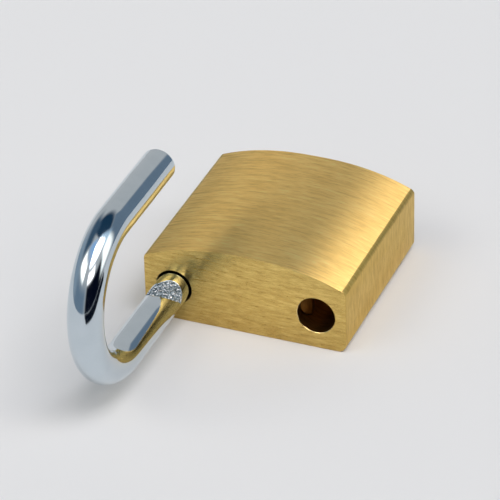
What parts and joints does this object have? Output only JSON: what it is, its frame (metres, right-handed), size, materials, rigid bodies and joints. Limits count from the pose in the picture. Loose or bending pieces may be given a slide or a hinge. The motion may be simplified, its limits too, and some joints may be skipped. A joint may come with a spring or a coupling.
{
  "type": "padlock",
  "caption": "Open brass padlock with a crowned body and a swivelling plated steel shackle, a pin tumbler cylinder, two wedge bolts and their springs.",
  "frame": {"origin": "middle of the flat back of the body, which the lock lies on", "axes": "+X across the body from the heel leg to the toe hole, +Y from the shackle end to the keyway end, +Z out of the crowned front"},
  "size_m": [0.04, 0.0788, 0.0384],
  "materials": {
    "brushed_brass": "brushed",
    "turned_brass": "machined",
    "plated_shackle": "polished",
    "steel_parts": "ground",
    "spring_wire": "drawn wire"
  },
  "bodies": {
    "body": {"body_block": "brushed_brass", "shackle_retaining_pin": "steel_parts", "shackle_spring": "spring_wire", "bolt_bore_plug": "turned_brass", "plug_retaining_pin": "steel_parts", "pin_spring_1": "spring_wire", "pin_spring_2": "spring_wire", "pin_spring_3": "spring_wire", "pin_spring_4": "spring_wire", "pin_spring_5": "spring_wire", "chamber_plug_1": "turned_brass", "chamber_plug_2": "turned_brass", "chamber_plug_3": "turned_brass", "chamber_plug_4": "turned_brass", "chamber_plug_5": "turned_brass"},
    "spring_cap": {"spring_cap": "turned_brass"},
    "shackle": {"shackle": "plated_shackle"},
    "key_plug": {"key_plug": "turned_brass", "cam": "steel_parts"},
    "toe_bolt": {"toe_bolt": "turned_brass", "toe_bolt_spring": "spring_wire"},
    "heel_bolt": {"heel_bolt": "turned_brass", "heel_bolt_spring": "spring_wire"},
    "driver_pin_1": {"driver_pin_1": "steel_parts"},
    "driver_pin_2": {"driver_pin_2": "steel_parts"},
    "driver_pin_3": {"driver_pin_3": "steel_parts"},
    "driver_pin_4": {"driver_pin_4": "steel_parts"},
    "driver_pin_5": {"driver_pin_5": "steel_parts"},
    "key_pin_1": {"key_pin_1": "turned_brass"},
    "key_pin_2": {"key_pin_2": "turned_brass"},
    "key_pin_3": {"key_pin_3": "turned_brass"},
    "key_pin_4": {"key_pin_4": "turned_brass"},
    "key_pin_5": {"key_pin_5": "turned_brass"}
  },
  "joints": [
    {"name": "shackle_lift", "type": "slide", "parent": "body", "child": "spring_cap", "axis": [0, -1, 0], "range_m": [-0.0108, 0], "deforming": ["shackle_spring"]},
    {"name": "shackle_swivel", "type": "hinge", "parent": "spring_cap", "child": "shackle", "pos_m": [-0.0141, -0.019, 0.007], "axis": [0, -1, 0], "range_deg": [-91.4, 268.6]},
    {"name": "plug_turn", "type": "hinge", "parent": "body", "child": "key_plug", "pos_m": [0, 0.0187, 0.007], "axis": [0, 1, 0], "range_deg": [0, 90]},
    {"name": "toe_bolt_slide", "type": "slide", "parent": "body", "child": "toe_bolt", "axis": [-1, 0, 0], "range_m": [0, 0.00135], "deforming": ["toe_bolt_spring", "heel_bolt_spring"]},
    {"name": "heel_bolt_slide", "type": "slide", "parent": "body", "child": "heel_bolt", "axis": [1, 0, 0], "range_m": [-0.00135, 0], "deforming": ["heel_bolt_spring", "toe_bolt_spring"]},
    {"name": "driver_pin_1_drop", "type": "slide", "parent": "body", "child": "driver_pin_1", "axis": [1, 0, 0], "range_m": [-0.0016, 0], "deforming": ["pin_spring_1"]},
    {"name": "driver_pin_2_drop", "type": "slide", "parent": "body", "child": "driver_pin_2", "axis": [1, 0, 0], "range_m": [-0.0008, 0], "deforming": ["pin_spring_2"]},
    {"name": "driver_pin_3_drop", "type": "slide", "parent": "body", "child": "driver_pin_3", "axis": [1, 0, 0], "range_m": [-0.0013, 0], "deforming": ["pin_spring_3"]},
    {"name": "driver_pin_4_drop", "type": "slide", "parent": "body", "child": "driver_pin_4", "axis": [1, 0, 0], "range_m": [-0.0005, 0], "deforming": ["pin_spring_4"]},
    {"name": "driver_pin_5_drop", "type": "slide", "parent": "body", "child": "driver_pin_5", "axis": [1, 0, 0], "range_m": [-0.0019, 0], "deforming": ["pin_spring_5"]},
    {"name": "key_pin_1_drop", "type": "slide", "parent": "key_plug", "child": "key_pin_1", "axis": [1, 0, 0], "range_m": [-0.0016, 0]},
    {"name": "key_pin_2_drop", "type": "slide", "parent": "key_plug", "child": "key_pin_2", "axis": [1, 0, 0], "range_m": [-0.0008, 0]},
    {"name": "key_pin_3_drop", "type": "slide", "parent": "key_plug", "child": "key_pin_3", "axis": [1, 0, 0], "range_m": [-0.0013, 0]},
    {"name": "key_pin_4_drop", "type": "slide", "parent": "key_plug", "child": "key_pin_4", "axis": [1, 0, 0], "range_m": [-0.0005, 0]},
    {"name": "key_pin_5_drop", "type": "slide", "parent": "key_plug", "child": "key_pin_5", "axis": [1, 0, 0], "range_m": [-0.0019, 0]}
  ],
  "couplings": [
    {"joint": "toe_bolt_slide", "follows": "plug_turn", "m_per_rad": 0.000859},
    {"joint": "key_pin_1_drop", "follows": "driver_pin_1_drop", "ratio": 1},
    {"joint": "key_pin_2_drop", "follows": "driver_pin_2_drop", "ratio": 1},
    {"joint": "key_pin_3_drop", "follows": "driver_pin_3_drop", "ratio": 1},
    {"joint": "key_pin_4_drop", "follows": "driver_pin_4_drop", "ratio": 1},
    {"joint": "key_pin_5_drop", "follows": "driver_pin_5_drop", "ratio": 1}
  ]
}
